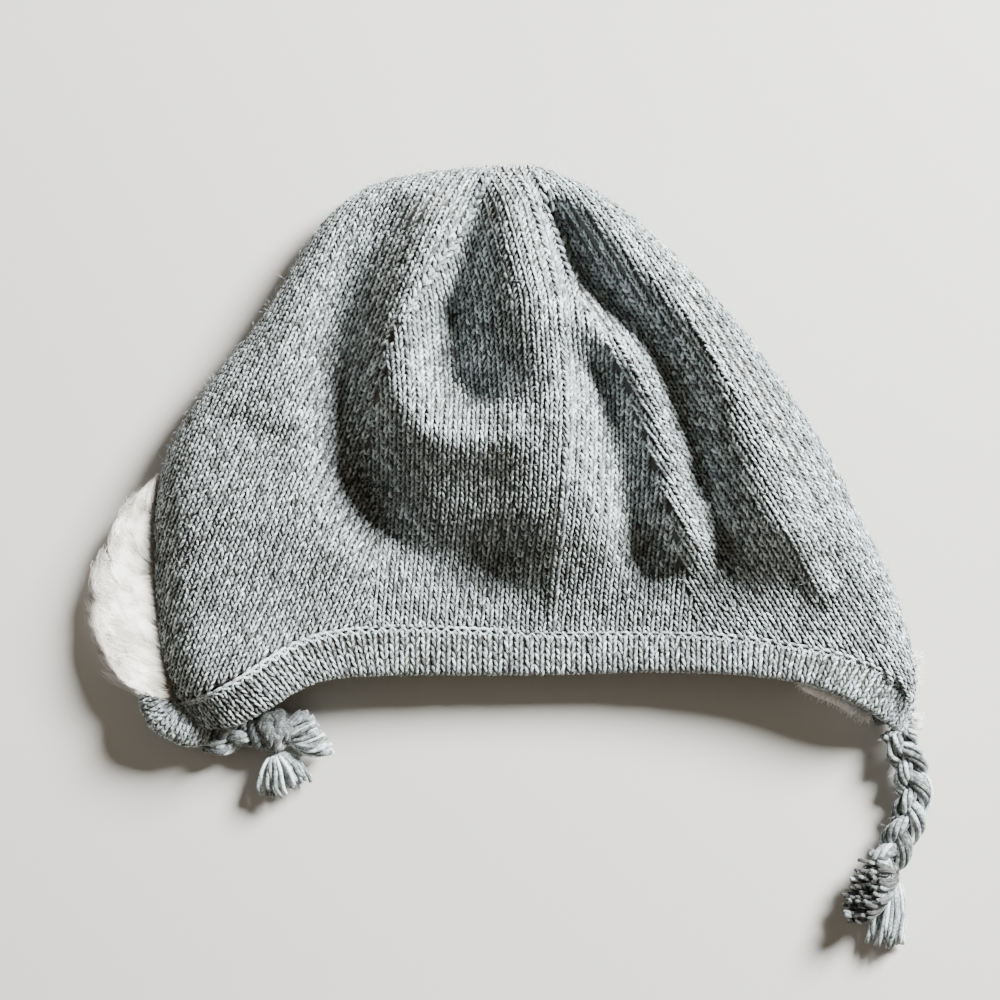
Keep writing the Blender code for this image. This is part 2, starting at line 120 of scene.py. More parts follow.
# distance of each point from a path, and the left-hand normal of the path where it is nearest
def fromPath(points, path):
    a, run = path[:-1], np.diff(path, axis=0)
    left = np.stack([-run[:, 1], run[:, 0]], 1) / np.linalg.norm(run, axis=1)[:, None]
    gaps, sides = [], []
    for some in np.array_split(points, max(1, len(points) // 8000)):
        t = np.clip(((some[:, None] - a) * run).sum(2) / (run ** 2).sum(1), 0, 1)
        gap = np.linalg.norm(some[:, None] - a - run * t[..., None], axis=2)
        best = gap.argmin(1)
        gaps.append(gap[np.arange(len(some)), best])
        sides.append(left[best])
    return np.concatenate(gaps), np.concatenate(sides)


outline = smoothLine(place([rightTip, (.486, -.497)] + rightSide + leftSide[-2::-1] + leftFlapSide[1:]
                           + [leftTip]), 260)
foldPaths = {name: smoothLine(place(path), 16) for name, (_, _, path) in folds.items()}
seamHeight = -.356 * hat["height"]


# height of the upper layer above its shoulder: a low dome, less at the hem, and a bell-shaped ridge per fold
def relief(points, inside):
    x, y = points.T
    upFromHem = ease((y - seamHeight) / (crown["hemReach"] * hat["height"]))
    dome = 1 - (1 - np.clip(inside / (crown["domeReach"] * hat["width"]), 0, 1)) ** 2
    height = hat["crownRise"] * dome * (crown["domeAtHem"] + (1 - crown["domeAtHem"]) * upFromHem)
    height -= hat["hemDrop"] * (1 - upFromHem) * np.exp(-(x / (crown["sagReach"] * hat["width"])) ** 2)
    for name, (tall, wide, _) in folds.items():
        off, _ = fromPath(points, foldPaths[name])
        bell = np.exp(-(off / (hat["foldWidth"] * wide)) ** 2)
        height += hat["foldHeight"] * tall * bell * ease(inside / (crown["foldReach"] * hat["width"]))
    return height


# the hat's surface over plan points, moved in by depth: a quarter round at the sides, then the relief
def clothAt(points, depth, upper=True):
    inside, inward = fromPath(points, outline)
    share = np.minimum(inside / hat["edgeRoll"], 1)
    moved = points + inward * (depth * (1 - share))[:, None]
    turn = np.sqrt(1 - (1 - share) ** 2)
    x, y = points.T
    lifted = ease((-x / hat["width"] - .30) / .12) * ease((-.05 - y / hat["height"]) / .10)
    middle = hat["sideHeight"] + hat["flapLift"] * lifted * ease((y / hat["height"] + .54) / .12)
    if not upper:
        return np.column_stack([moved, middle - (middle - depth) * turn])
    return np.column_stack([moved, middle + (hat["sideRise"] - depth) * turn + relief(points, inside)])


# meshes from whole arrays
def putPiece(name, points, faces, material, values=None, replaced=()):
    # faces: one index array per face size; values: one number per vertex and name
    mesh = bpy.data.meshes.new(name)
    points = np.asarray(points, np.float32).reshape(-1, 3)
    loops = np.concatenate([f.ravel() for f in faces]).astype(np.int32)
    sizes = np.concatenate([np.full(len(f), f.shape[1]) for f in faces])
    mesh.vertices.add(len(points))
    mesh.vertices.foreach_set("co", points.ravel())
    mesh.loops.add(len(loops))
    mesh.loops.foreach_set("vertex_index", loops)
    mesh.polygons.add(len(sizes))
    mesh.polygons.foreach_set("loop_start", np.append(0, np.cumsum(sizes)[:-1]).astype(np.int32))
    mesh.update(calc_edges=True)
    mesh.validate()
    mesh.shade_smooth()
    for key, value in (values or {}).items():
        number = np.asarray(value, np.float32).ravel()
        mesh.attributes.new(key, "FLOAT", "POINT").data.foreach_set("value", number)
    mesh.materials.append(material)
    piece = bpy.data.objects.new(name, mesh)
    bpy.context.scene.collection.objects.link(piece)
    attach(piece, "root")
    if replaced:
        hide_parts(*replaced)
    print(f"{name}: {sum(len(f) * (f.shape[1] - 2) for f in faces)} triangles")
    return piece


# quads between neighbouring rows and columns of a grid of points, closed round where asked
def gridFaces(rows, columns, roundColumns=False, roundRows=False, first=0):
    r = np.arange(rows if roundRows else rows - 1)[:, None]
    c = np.arange(columns if roundColumns else columns - 1)[None]
    n, k = (r + 1) % rows, (c + 1) % columns
    corners = [r * columns + c, r * columns + k, n * columns + k, n * columns + c]
    return first + np.stack(corners, -1).reshape(-1, 4)


def unit(v):
    return v / np.maximum(np.linalg.norm(v, axis=-1, keepdims=True), 1e-12)


# many tubes at once: a ring of points round each path point, the ends closed by a flat cap
def tubes(paths, radii, sides=5, flat=1.0, upright=(0, 0, 1)):
    paths = np.asarray(paths, float)
    radii = np.broadcast_to(radii, paths.shape[:2])
    run = unit(np.gradient(paths, axis=1))
    side = unit(np.cross(run, upright))
    up = np.cross(side, run)
    turn = np.linspace(0, 2 * np.pi, sides, endpoint=False)
    ring = side[:, :, None] * np.cos(turn)[:, None] + up[:, :, None] * (flat * np.sin(turn))[:, None]
    points = paths[:, :, None] + radii[..., None, None] * ring
    many, long = paths.shape[:2]
    one = gridFaces(long, sides, roundColumns=True)[:, ::-1]
    start = (np.arange(many) * long * sides)[:, None, None]
    caps = np.stack([np.arange(sides), (long * sides - 1) - np.arange(sides)])
    return points, [(start + one).reshape(-1, 4), (start + caps[None]).reshape(-1, sides)]


# tubes as one piece, with a tone per path, per path point or per vertex
def putTubes(name, paths, radii, sides, material, slotName, shade, replaced=(), **shape):
    points, faces = tubes(paths, radii, sides, **shape)
    return putPiece(name, points, faces, material, {"marlAndShade": np.broadcast_to(shade, points.shape[:3])},
                    replaced)


# materials; an sRGB hex colour as linear numbers
def toLinear(hexColour):
    c = np.array([int(hexColour[k:k + 2], 16) for k in (1, 3, 5)]) / 255
    return (*np.where(c <= .04045, c / 12.92, ((c + .055) / 1.055) ** 2.4), 1)


def addNode(tree, kind, settings=None, links=None):
    node = tree.nodes.new(kind)
    for key, value in (settings or {}).items():
        if isinstance(key, str) and hasattr(node, key):
            setattr(node, key, value)
        else:
            node.inputs[key].default_value = value
    for key, source in (links or {}).items():
        tree.links.new(source, node.inputs[key])
    return node


# fibres, dull and hairy: a tone per vertex, varied by noises as large as a fleck, a fibre and a cloud
def fibreMaterial(name, stops, fleck=.00060, fibre=.00028, cloud=.011, bumpHeight=.00012, sheen=.25,
                  contrast=.95):
    material = bpy.data.materials.new(name)
    material.use_nodes = True
    tree = material.node_tree
    shader = tree.nodes["Principled BSDF"]
    for key, value in (("Roughness", .92), ("Specular IOR Level", .25), ("Sheen Weight", sheen),
                       ("Sheen Roughness", .6)):
        shader.inputs[key].default_value = value
    spot = addNode(tree, "ShaderNodeTexCoord").outputs["Object"]
    mixed = addNode(tree, "ShaderNodeAttribute", {"attribute_name": "marlAndShade"}).outputs["Fac"]
    for size, share in ((fleck, contrast), (fibre, .5 * contrast), (cloud, .30)):
        noise = addNode(tree, "ShaderNodeTexNoise", {"Scale": 1 / size, "Detail": 1.5},
                        {"Vector": spot}).outputs["Fac"]
        part = addNode(tree, "ShaderNodeMath", {"operation": "MULTIPLY_ADD", 1: share, 2: -.5 * share},
                       {0: noise}).outputs[0]
        mixed = addNode(tree, "ShaderNodeMath", {"operation": "ADD"}, {0: mixed, 1: part}).outputs[0]
        if size == fibre:
            fibres = noise
    ramp = addNode(tree, "ShaderNodeValToRGB", links={0: mixed})
    elements = ramp.color_ramp.elements
    while len(elements) < len(stops):
        elements.new(.5)
    for element, (at, colour) in zip(elements, stops):
        element.position, element.color = at, toLinear(colour)
    bump = addNode(tree, "ShaderNodeBump", {"Strength": .8, "Distance": bumpHeight}, {"Height": fibres})
    tree.links.new(ramp.outputs[0], shader.inputs["Base Color"])
    tree.links.new(bump.outputs[0], shader.inputs["Normal"])
    return material


# marled wool, machine-knitted: light and dark fibres spun into one yarn, so each loop is flecked
marlStops = [(0, "#1f1f1e"), (.30, "#424546"), (.55, "#798182"), (.80, "#b6c0c4"), (1, "#e9f1f4")]
stitchWool = fibreMaterial("marled wool, knitted loops", marlStops)
bandWool = fibreMaterial("marled wool, folded band loops", marlStops)
# the same yarn, plaited by hand: its fibres stand off more, so it has a brighter rim
tieWool = fibreMaterial("marled wool, plaited yarn", marlStops, sheen=.35)
# the cloth behind the loops, always in their shade: painted near black as that shade, so the gaps between them read
# dark
paintedShadeGround = fibreMaterial("marled wool, ground between the loops painted dark as shade",
                           [(0, "#121211"), (.5, "#242421"), (1, "#3c3b36")], fleck=.0016)
underWool = fibreMaterial("marled wool, knitted side that lies down", marlStops)


# plain knit drawn, not modelled, on the side that lies down and its rim: columns and rows as wide as the loops
def drawStitches(material, wale=.0025, course=.0015):
    tree = material.node_tree
    shader, ramp = tree.nodes["Principled BSDF"], tree.nodes["Color Ramp"]
    spot = addNode(tree, "ShaderNodeTexCoord").outputs["Object"]
    x, y, z = addNode(tree, "ShaderNodeSeparateXYZ", links={0: spot}).outputs
    value = {"x": x, "y": y, "z": z, "tone": ramp.inputs[0].links[0].from_socket}
    # the drawn loops' height is added to the tone: painted light and shade, lighter on each loop and darker between
    # them
    steps = [("aslant", "ADD", "x", "z"), ("column", "DIVIDE", "aslant", wale),
             ("fold", "PINGPONG", "column", .5), ("legTurn", "MULTIPLY", "fold", 2 * np.pi),
             ("leg", "SINE", "legTurn"), ("upward", "ADD", "y", "z"), ("row", "DIVIDE", "upward", course),
             ("lean", "MULTIPLY", "fold", 1.3), ("step", "ADD", "row", "lean"),
             ("loopTurn", "MULTIPLY", "step", 2 * np.pi), ("loop", "SINE", "loopTurn"),
             ("swell", "MULTIPLY_ADD", "loop", .35, .65), ("height", "MULTIPLY", "leg", "swell"),
             ("light", "MULTIPLY_ADD", "height", .9, -.62), ("colour", "ADD", "tone", "light")]
    for name, operation, *terms in steps:
        numbers = {k: term for k, term in enumerate(terms) if not isinstance(term, str)}
        sockets = {k: value[term] for k, term in enumerate(terms) if isinstance(term, str)}
        node = addNode(tree, "ShaderNodeMath", {"operation": operation, **numbers}, sockets)
        value[name] = node.outputs[0]
    tree.links.new(value["colour"], ramp.inputs[0])
    bump = addNode(tree, "ShaderNodeBump", {"Strength": .9, "Distance": .0006}, {"Height": value["height"]})
    tree.links.new(bump.outputs[0], shader.inputs["Normal"])


drawStitches(underWool)
# brushed polyester plush: long white fibres combed into clumps; the ramp's warm grey low end is painted shade between
# the clumps and at the roots, its top white
plushPile = fibreMaterial("brushed polyester plush, long white pile",
                          [(0, "#b9b4a8"), (.4, "#e9e6df"), (.75, "#fbfbf9"), (1, "#ffffff")], fleck=.004,
                          sheen=.3, contrast=.5)

# camera straight above, 0.28 mm to a picture pixel at the outline's height, and the light
camera = {"middle": (-.0140, -.0196), "distance": 1.2, "frame": .280}
eye = bpy.data.cameras.new("camera")
eye.sensor_width = 36
eye.lens = 36 * (camera["distance"] - hat["sideHeight"]) / camera["frame"]
eyeObject = bpy.data.objects.new("camera", eye)
eyeObject.location = (*camera["middle"], camera["distance"])
bpy.context.scene.collection.objects.link(eyeObject)
bpy.context.scene.camera = eyeObject

lights = {  # place, size in metres, power in watts, colour
    "key": ((.76, .66, .76), .50, 106, (1, 1, .985)),
    "fill": ((-.75, .10, .90), 1.0, 1.4, (.93, .96, 1)),
}
for name, (spot, size, power, colour) in lights.items():
    lamp = bpy.data.lights.new(name, "AREA")
    lamp.shape, lamp.size, lamp.energy, lamp.color = "DISK", size, power, colour
    lampObject = bpy.data.objects.new(name, lamp)
    lampObject.location = spot
    away = np.array(spot) - (0, 0, .01)
    across = np.hypot(away[0], away[1])
    lampObject.rotation_euler = (np.arctan2(across, away[2]), 0, np.arctan2(away[1], away[0]) + np.pi / 2)
    bpy.context.scene.collection.objects.link(lampObject)
studio = {"skyColour": (1, .82, .54, 1), "skyStrength": .16, "floorColour": "#c6c5c2", "floorSize": 4,
          "floorHeight": -.0002}
world = bpy.data.worlds.new("soft studio light")
world.use_nodes = True
world.node_tree.nodes["Background"].inputs[0].default_value = studio["skyColour"]
world.node_tree.nodes["Background"].inputs[1].default_value = studio["skyStrength"]
bpy.context.scene.world = world

corners = [(x * studio["floorSize"], y * studio["floorSize"], studio["floorHeight"])
           for x, y in ((-1, -1), (1, -1), (1, 1), (-1, 1))]
floorMesh = bpy.data.meshes.new("floor")
floorMesh.from_pydata(corners, [], [(0, 1, 2, 3)])
floor = bpy.data.objects.new("floor", floorMesh)
bpy.context.scene.collection.objects.link(floor)
# painted board, rolled on matt: no gloss, so the hat's shadow is all that shows on it
floorPaint = bpy.data.materials.new("matt painted board, pale")
floorPaint.use_nodes = True
floorShader = floorPaint.node_tree.nodes["Principled BSDF"]
floorShader.inputs["Base Color"].default_value = toLinear(studio["floorColour"])
floorShader.inputs["Roughness"].default_value = .9
floorMesh.materials.append(floorPaint)
print("materials, camera, light and floor made")


# the knit ground: one closed wall under the loops, and the plush wall inside it
def lengthShares(line):
    along = np.append(0, np.cumsum(np.linalg.norm(np.diff(line, axis=0), axis=1)))
    return along / along[-1]


# plan rows from a hem line to the crown between two sides
def patch(hem, across, up, left, right):
    v, a = up[:, None, None], across[None, :, None]
    fromLeft, fromRight = (side[:, None] - (1 - v) * side[0] for side in (left, right))
    return (1 - v) * hem + (1 - a) * fromLeft + a * fromRight


def byHeight(side, up):
    line = smoothLine(place(side), 200)
    y = line[0, 1] + (line[-1, 1] - line[0, 1]) * up
    return np.column_stack([np.interp(y, line[:, 1], line[:, 0]), y])


def bandStations(table, count):
    t = np.array(table)
    return smoothLine(np.hstack([place(t[:, :2]), place(t[:, 2:4]), t[:, 4:]]), count)


def aboveSeam(stations, clearance):
    out = stations[:, :2] - stations[:, 2:4]
    turning = 4 * stations[:, 4] * (1 - stations[:, 4])
    apart = clearance * (1 + 1.2 * np.clip(turning, 0, 1))
    return stations[:, :2] + out * (apart / np.linalg.norm(out, axis=1))[:, None]


seamClearance = .0006
backStations = bandStations(backBand + frontBand[:1], 160)
frontStations = bandStations(frontBand, 110)


def closedWall(near, deep, firstRow, rows=70):
    up = 1 - (1 - np.linspace(0, 1, rows) ** 1.5) ** 1.6
    left, right = byHeight(leftSide, up), byHeight(rightSide, up)
    back = np.vstack([smoothLine(place(leftFlapSide), 40)[:-1], aboveSeam(backStations, seamClearance)[:-1], right[:1]])
    front = np.vstack([right[:1], aboveSeam(frontStations, seamClearance)[1:-1], left[:1]])
    plans = []
    for line, turned in ((back, False), (front, True)):
        shares = lengthShares(line)
        even = .5 - .5 * np.cos(np.linspace(0, np.pi, 150))  # closer columns where the cloth rolls over
        line = np.column_stack([np.interp(even, shares, line[:, k]) for k in (0, 1)])
        plans.append(patch(line, 1 - even if turned else even, up, left, right))
    layers = []
    for depth in (near, deep):
        top = clothAt(plans[0].reshape(-1, 2), depth, True).reshape(rows, -1, 3)
        # under the deepest folds the lining crosses the lower wall, unseen: it only stays off the floor
        top[..., 2] = np.maximum(top[..., 2], .0005 + .12 * depth)
        low = clothAt(plans[1].reshape(-1, 2), depth, False).reshape(rows, -1, 3)[:, 1:-1]
        layers.append(np.concatenate([top, low], 1)[firstRow:])
    outer, inner = layers
    many, ring = outer.shape[:2]
    layer = many * ring
    edge = np.arange(ring)
    hem = np.stack([edge, layer + edge, layer + np.roll(edge, -1), np.roll(edge, -1)], 1)
    faces = [gridFaces(many, ring, True), gridFaces(many, ring, True, first=layer)[:, ::-1], hem]
    return np.concatenate([outer.reshape(-1, 3), inner.reshape(-1, 3)]), faces


# its upper faces, under the loops, are painted near black: painted shade between the loops; the faces that lie down get
# drawn stitches
points, faces = closedWall(.0009, hat["knitWall"], 0, 62)
ground = putPiece("knitGround", points, faces, paintedShadeGround, {"marlAndShade": np.full(len(points), .5)},
                  ["knit_shell"])
ground.data.materials.append(underWool)
faceMiddle = np.zeros(3 * len(ground.data.polygons))
ground.data.polygons.foreach_get("center", faceMiddle)
outerFaces = np.arange(len(ground.data.polygons)) < len(faces[0])
under = outerFaces & (faceMiddle[2::3] < hat["sideHeight"] * .96)
ground.data.polygons.foreach_set("material_index", under.astype(np.int32))
liningGap = .0003
liningTop = hat["knitWall"] + liningGap
points, faces = closedWall(liningTop, liningTop + hat["plushWall"], 2, 42)
putPiece("plushLiningWall", points, faces, plushPile, {"marlAndShade": np.full(len(points), .5)},
         ["plush_lining"])

# stockinette: two plump legs to a loop, on a plan that is rolled down over the sides
loops = {"wale": .0025, "course": .00150, "legWidth": .00095, "legHeight": .00055, "leftSlant": 23,
         "rightSlant": 31, "depth": .0007, "mostStretch": 2.6, "mostAtRoll": 1.5, "rollReach": .016,
         "clearOfBand": .0004, "gridReach": 104}
rollOut = (np.pi / 2 - 1) * hat["edgeRoll"]
outlineRun = np.gradient(outline, axis=0)
wideOutline = outline + rollOut * unit(np.column_stack([outlineRun[:, 1], -outlineRun[:, 0]]))
# the two lines where the crown is narrowed, and the back seam, from the crown down, in metres
leftDecrease = np.array([(-.016, .090), (-.0196, .0644), (-.0434, .0252), (-.052, -.010), (-.048, -.028),
                         (-.052, -.090)])
rightDecrease = np.array([(-.006, .090), (-.0028, .070), (.0084, .0364), (.022, .010), (.032, -.020),
                          (.042, -.058), (.044, -.090)])
seamPath = np.array([(-.0098, .0740), (-.0045, .0620), (.0025, .0360), (.0045, .0080), (.0036, -.020),
                     (.0015, -.040), (0, -.060)])


def rolledDown(points):  # unrolled plan places, where the side's arc is laid flat, as real plan places
    out, inward = fromPath(points, wideOutline)
    turned = hat["edgeRoll"] * (1 - np.cos(np.minimum(out, np.pi / 2 * hat["edgeRoll"]) / hat["edgeRoll"]))
    shift = np.where(out < np.pi / 2 * hat["edgeRoll"], rollOut + turned - out, 0)
    return points + inward * shift[:, None]


def isInside(points, polygon):  # even-odd crossings of a line to the right of each point
    a, b = polygon, np.roll(polygon, -1, 0)
    x, y = points[:, :1], points[:, 1:]
    spans = (a[:, 1] > y) != (b[:, 1] > y)
    tall = np.where(b[:, 1] == a[:, 1], 1e-9, b[:, 1] - a[:, 1])
    crossing = a[:, 0] + (y - a[:, 1]) * (b[:, 0] - a[:, 0]) / tall
    return (spans & (x < crossing)).sum(1) % 2 == 1


# places of the loops, one rotated grid; bent along the back seam if upright
def loopGrid(slant, middle, reach):
    a = np.radians(slant)
    i, j = np.meshgrid(np.arange(-reach, reach), np.arange(-reach, reach))
    w, v = i.ravel() * loops["wale"], j.ravel() * loops["course"]
    spots = np.column_stack([w * np.cos(a) + v * np.sin(a), -w * np.sin(a) + v * np.cos(a)]) + middle
    if slant == 0:
        spots[:, 0] += np.interp(spots[:, 1], seamPath[::-1, 1], seamPath[::-1, 0])
    return spots, np.array((np.cos(a), -np.sin(a))), np.array((np.sin(a), np.cos(a)))


# one leg: a slanted arch, thickest in its middle, both ends sunk in the ground, four-sided
def legPoints(centre, alongWale, alongCourse, normal, side, seed):
    some = np.random.default_rng(seed)
    many = len(centre)
    t = np.array([[0, .30, .70, 1]])
    arc = np.sin(np.pi * t)
    jitter = some.normal(0, 1, (5, many, 1))
    u = side * (.07 + .33 * t + .025 * jitter[0]) * loops["wale"] + .00006 * jitter[3]
    v = ((t - .5) * (1.62 + .10 * jitter[1]) + .06 * jitter[2]) * loops["course"]
    n = -.00028 + loops["legHeight"] * arc ** .7 * (1 + .16 * jitter[4])
    r = .5 * loops["legWidth"] * (.52 + .48 * arc ** .8) * (1 + .10 * jitter[1])
    lean = np.arctan2(.33 * loops["wale"], 1.62 * loops["course"])
    turn = np.radians([-118, -36, 36, 118])
    s, c = np.sin(turn), .85 * np.cos(turn)
    across = u[..., None] + r[..., None] * s * np.cos(lean)
    along = v[..., None] - side * r[..., None] * s * np.sin(lean)
    height = n[..., None] + r[..., None] * c
    points = centre[:, None, None] + across[..., None] * alongWale[:, None, None] \
        + along[..., None] * alongCourse[:, None, None] + height[..., None] * normal[:, None, None]
    # tone at random per leg and per ring, the marl; plus painted shade: darker on each leg's two lower sides and
    # towards its sunk ends
    shade = some.normal(.65, .12, (many, 1, 1)) + some.normal(0, .09, (many, 4, 1)) \
        + np.array([-.42, .05, .05, -.42]) - .20 * (1 - arc[..., None])
    return points, np.clip(shade, 0, 1)


def legFaces(many):
    one = gridFaces(4, 4, roundColumns=True)
    caps = np.stack([np.arange(3, -1, -1), np.arange(12, 16)])
    start = (np.arange(many) * 16)[:, None, None]
    return [np.concatenate([(start + one).reshape(-1, 4), (start + caps[None]).reshape(-1, 4)])]


def putLoops(name, centre, alongWale, alongCourse, normal, material, seed, gauge=1.0):
    parts = [legPoints(centre, gauge * alongWale, gauge * alongCourse, gauge * normal, side, seed + side)
             for side in (-1, 1)]
    points = np.concatenate([p.reshape(-1, 3) for p, _ in parts])
    points[:, 2] = np.maximum(points[:, 2], .0003)
    shade = np.concatenate([s.ravel() for _, s in parts])
    return putPiece(name, points, legFaces(2 * len(centre)), material, {"marlAndShade": shade})


def onCloth(points):
    return clothAt(rolledDown(points), loops["depth"])


# places on the cloth, and how far a step along a row and up a column goes there
def clothFrame(spots, waleWay, courseWay, nudge=.0004):
    centre = onCloth(spots)
    return centre, *((onCloth(spots + nudge * way) - centre) / nudge for way in (waleWay, courseWay))


hemX = np.concatenate([[-.2], backStations[:, 0], [.2]])
hemY = np.concatenate([[backStations[0, 1]], backStations[:, 1], [backStations[-1, 1]]])
sheetPolygon = np.vstack([wideOutline, wideOutline[-1] - (0, .03), wideOutline[0] - (0, .03)])
zones = {"Left": (loops["leftSlant"], (-.070, -.020), -1), "Centre": (0, (0, 0), 0),
         "Right": (-loops["rightSlant"], (.060, -.020), 1)}
for seed, (zone, (slant, middle, side)) in enumerate(zones.items()):
    spots, waleWay, courseWay = loopGrid(slant, middle, loops["gridReach"])
    leftLimit = np.interp(spots[:, 1], leftDecrease[::-1, 1], leftDecrease[::-1, 0])
    rightLimit = np.interp(spots[:, 1], rightDecrease[::-1, 1], rightDecrease[::-1, 0])
    zoneOf = np.where(spots[:, 0] < leftLimit, -1, np.where(spots[:, 0] > rightLimit, 1, 0))
    aboveHem = spots[:, 1] > np.interp(spots[:, 0], hemX, hemY) + loops["clearOfBand"]
    spots = spots[(zoneOf == side) & aboveHem & isInside(spots, sheetPolygon)]
    centre, alongWale, alongCourse = clothFrame(spots, waleWay, courseWay)
    wide, long = (np.linalg.norm(w, axis=1, keepdims=True) for w in (alongWale, alongCourse))
    inner = fromPath(spots, outline)[0] > loops["rollReach"]  # on the roll a loop stretches less
    most = np.where(inner, loops["mostStretch"], loops["mostAtRoll"])[:, None]
    alongWale, alongCourse = alongWale * np.minimum(1, most / wide), alongCourse * np.minimum(1, most / long)
    normal = unit(np.cross(alongWale, alongCourse))
    putLoops(f"knitLoops{zone}", centre, alongWale, alongCourse, normal, stitchWool, 20 + 5 * seed)

# one column of larger loops, proud of the rest, down each decrease line and down the back seam
# line, its highest and lowest place, pitch, scale and lift
marks = {"leftDecreaseMarks": (leftDecrease, (.072, .026), .0026, 1.20, .0004),
         "rightDecreaseMarks": (rightDecrease, (.072, .041), .0024, 1.25, .0007),
         "backSeamColumn": (seamPath, (.070, -.055), .0017, 1.15, .0004)}
for seed, (name, (track, (high, low), pitch, scale, lift)) in enumerate(marks.items()):
    track = smoothLine(track, 300)
    track = track[(track[:, 1] < high) & (track[:, 1] > low)]
    spots = smoothLine(track[::12], int(np.linalg.norm(np.diff(track, axis=0), axis=1).sum() / pitch))
    courseWay = -unit(np.gradient(spots, axis=0))
    waleWay = np.column_stack([courseWay[:, 1], -courseWay[:, 0]])
    centre, alongWale, alongCourse = clothFrame(spots, waleWay, courseWay)
    normal = unit(np.cross(alongWale, alongCourse))
    putLoops(name, centre + lift * normal, scale * alongWale, scale * alongCourse, scale * normal,
             stitchWool, 90 + seed)
print("knit ground, lining and loops made")

# edge band: a closed folded strip all round the hem, with loops across it
band = {"wale": .0029, "course": .00165, "width": .0118, "gauge": 1.14, "chainPitch": .0030,
        "chainWidth": .00048,
        "profile": [(0, .10), (.06, .36), (.20, .5), (.84, .5), (.985, .22)],  # shares of width and thickness
        "outerCourses": (.0012, .0180), "turnedCourses": .0220}


def bandSections(stations):
    seam, edge, layer = stations[:, :2], stations[:, 2:4], stations[:, 4]
    thick = hat["bandThickness"]
    ends = []
    for line in (seam, edge):
        top = clothAt(line, 0)[:, 2]
        top = 2 * hat["sideHeight"] + (top - 2 * hat["sideHeight"]) * ease((layer - .4) / .5)
        ends.append(np.column_stack([line, thick / 2 + layer * (top - 1.25 * thick)]))
    seam, edge = ends
    run = np.roll(seam + edge, -1, 0) - np.roll(seam + edge, 1, 0)
    across = edge - seam
    out = unit(np.cross(across, run))
    profile = band["profile"] + [(a, -n) for a, n in band["profile"][::-1]]
    flat = (band["width"], thick)
    profile = smoothLine(np.array(profile + profile[:1]) * flat, 41)[:-1] / flat
    sections = seam[:, None] + across[:, None] * profile[:, :1] + out[:, None] * (profile[:, 1:] * thick)
    sections[..., 2] = np.maximum(sections[..., 2], .0002)
    return sections, out


turnedStations = bandStations(frontBand[-1:] + turnedBand + backBand[:1], 80)
allStations = np.vstack([backStations[:-1], frontStations[:-1], turnedStations[:-1]])
bandGrid, bandOut = bandSections(allStations)
bandRows, bandRing = bandGrid.shape[:2]
# the band's cloth under its loops is painted near black: painted shade between the loops
putPiece("edgeBandGround", bandGrid.reshape(-1, 3), [gridFaces(bandRows, bandRing, True, True)], paintedShadeGround,
         {"marlAndShade": np.full(bandRows * bandRing, .75)}, ["edge_band"])


# bilinear reading of a grid that closes both ways
def readGrid(grid, row, column):
    rows, columns = grid.shape[:2]
    r, c = np.floor(row).astype(int), np.floor(column).astype(int)
    fr, fc = (row - r)[:, None], (column - c)[:, None]
    low, high = (grid[r % rows, k % columns] * (1 - fr) + grid[(r + 1) % rows, k % columns] * fr
                 for k in (c, c + 1))
    return low * (1 - fc) + high * fc


# loops over a closed strip, at the given rows and columns of its grid
def gridLoops(name, grid, rowsAt, columnsAt, seed, gauge, isTube=False):
    row, column = (g.ravel() for g in np.meshgrid(rowsAt, columnsAt, indexing="ij"))
    centre = readGrid(grid, row, column)
    alongWale = unit(readGrid(grid, row + .4, column) - readGrid(grid, row - .4, column))
    alongCourse = unit(readGrid(grid, row, column - .4) - readGrid(grid, row, column + .4))
    normal = unit(np.cross(alongWale, alongCourse))
    if isTube:
        out = centre - grid.mean(1)[np.round(row).astype(int)]
        side = np.sign((normal * out).sum(1))[:, None]
        alongWale, normal = side * alongWale, side * normal
    putLoops(name, centre, alongWale, alongCourse, normal, bandWool, seed, gauge)


middleLine = bandGrid[:, 8]
stepAlong = np.linalg.norm(np.roll(middleLine, -1, 0) - middleLine, axis=1)
alongBand = np.append(0, np.cumsum(stepAlong))
waleCount = round(alongBand[-1] / band["wale"])
waleAt = np.linspace(0, alongBand[-1], waleCount, endpoint=False)
waleRow = np.interp(waleAt, alongBand, np.arange(bandRows + 1))
aroundBand = np.append(0, np.cumsum(np.linalg.norm(np.diff(bandGrid[80], axis=0), axis=1)))
turnedRow = waleRow[(waleRow > 262) | (waleRow < 10)]
courses = {"edgeBandLoops": (waleRow, np.arange(*band["outerCourses"], band["course"]), 60),
           "turnedBandLoops": (turnedRow, np.arange(band["turnedCourses"], aroundBand[-1], band["course"]), 66)}
for name, (rowsAt, reach, seed) in courses.items():
    gridLoops(name, bandGrid, rowsAt, np.interp(reach, aroundBand, np.arange(bandRing)), seed, band["gauge"])

# the linking line: two cords that cross each other over the seam, like a chain
seamTop = bandGrid[:159, 1] + unit(bandOut[:159]) * .0004
chainShare = np.append(0, np.cumsum(np.linalg.norm(np.diff(seamTop, axis=0), axis=1)))
chainAt = np.linspace(0, chainShare[-1], 900)
chainLine = np.column_stack([np.interp(chainAt, chainShare, seamTop[:, k]) for k in range(3)])
chainOut = unit(np.column_stack([np.interp(chainAt, chainShare, bandOut[:159, k]) for k in range(3)]))
bandWay = unit(allStations[:159, 2:4] - allStations[:159, :2])
chainDown = np.column_stack([np.interp(chainAt, chainShare, bandWay[:, k]) for k in (0, 1)] + [0 * chainAt])
beat = np.abs(np.sin(np.pi * chainAt / band["chainPitch"]))[:, None]
cords = [chainLine + chainDown * (-.0003 - .0003 * beat) + chainOut * (.0009 + .0003 * beat),
         chainLine + chainDown * (-.0002 + .0013 * beat) + chainOut * (.0012 - .0006 * beat)]
